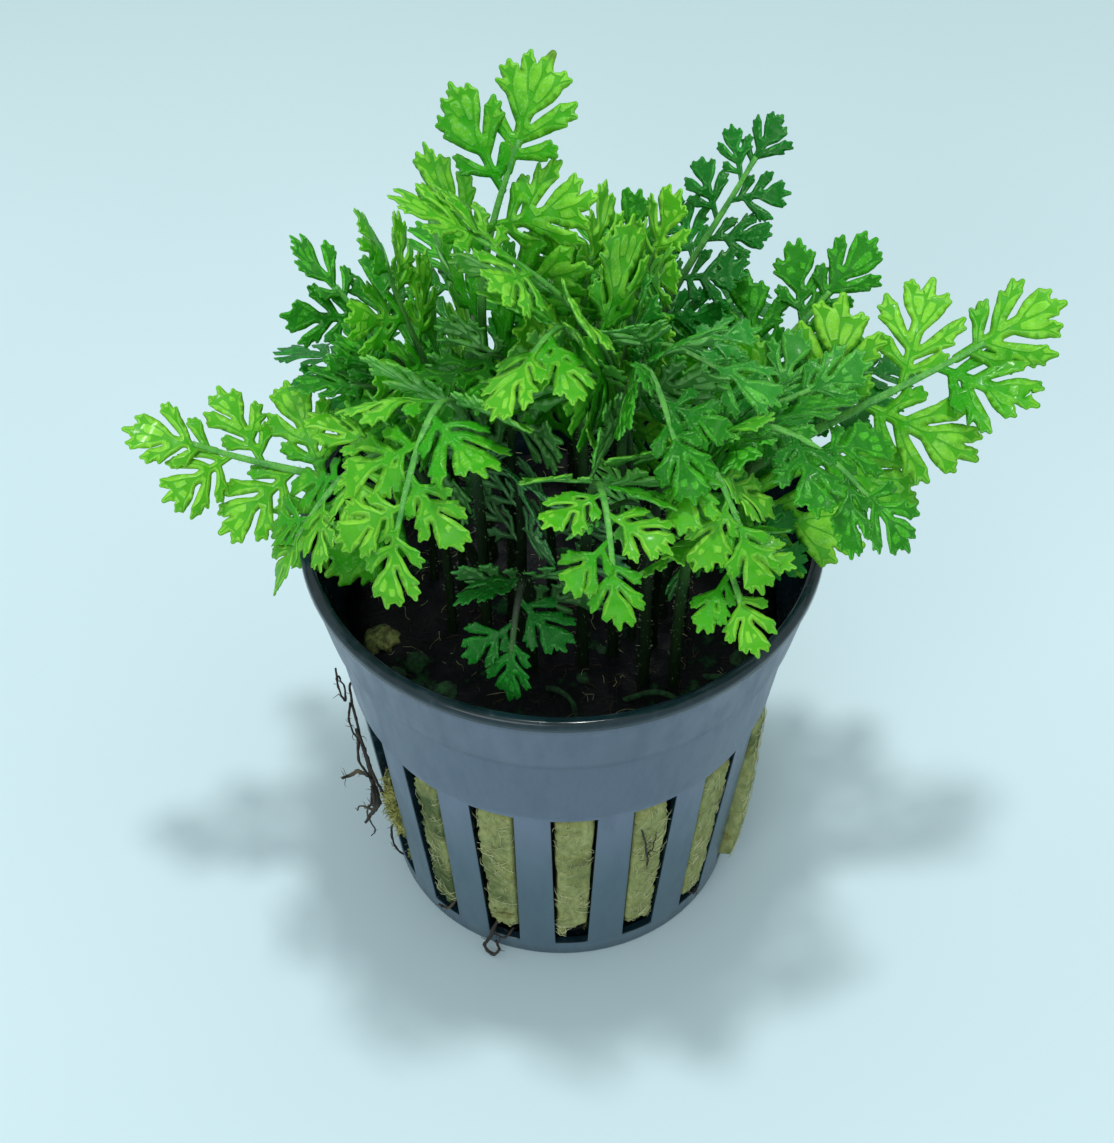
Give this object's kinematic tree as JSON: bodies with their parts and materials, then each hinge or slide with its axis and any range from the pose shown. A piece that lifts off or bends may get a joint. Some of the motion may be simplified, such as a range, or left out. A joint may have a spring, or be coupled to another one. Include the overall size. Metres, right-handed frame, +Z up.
{
  "type": "potted aquarium plant",
  "caption": "Bushy aquarium plant with parsley-like fronds on slim stalks, rooted in rock wool in a slotted plastic net pot.",
  "frame": {"origin": "centre of the pot's flat underside", "axes": "+Z up along the pot's axis, -Y towards the viewer of the picture, +X to the viewer's right"},
  "size_m": [0.0869, 0.0603, 0.1011],
  "materials": {
    "pot": "moulded, satin grey-blue with a glossier dark lip",
    "rock_wool": "matt fibrous, khaki with olive stains",
    "root": "matt brown",
    "leaf_bright": "soft satin, young yellow-green leaf",
    "leaf_mid": "soft satin, mid-green leaf",
    "leaf_dark": "soft satin, dark older leaf"
  },
  "bodies": {
    "root": {"pot": "pot", "rock_wool": "rock_wool", "root": "root", "frond_far_left": "leaf_bright", "frond_left_low": "leaf_bright", "frond_left_back": "leaf_mid", "frond_top_left": "leaf_bright", "frond_top": "leaf_bright", "frond_near_top": "leaf_bright", "frond_top_right": "leaf_bright", "frond_upper_right": "leaf_bright", "frond_back_middle": "leaf_mid", "frond_back_right": "leaf_dark", "frond_right_back": "leaf_mid", "frond_far_right": "leaf_bright", "frond_right": "leaf_mid", "frond_right_low": "leaf_mid", "frond_silver": "leaf_mid", "frond_centre_right": "leaf_mid", "frond_centre_left": "leaf_bright", "frond_pale": "leaf_bright", "frond_mid_right": "leaf_bright", "frond_front_left": "leaf_bright", "frond_left": "leaf_mid", "frond_left_middle": "leaf_mid", "frond_front_centre": "leaf_bright", "frond_front_right": "leaf_bright", "frond_front_hanging": "leaf_dark", "frond_centre_low_left": "leaf_dark", "frond_centre_low": "leaf_dark", "frond_rim_right": "leaf_dark", "frond_back_left": "leaf_mid", "frond_back": "leaf_mid", "frond_back_low_right": "leaf_dark", "frond_back_low_left": "leaf_dark", "frond_right_back_low": "leaf_dark"}
  },
  "joints": []
}
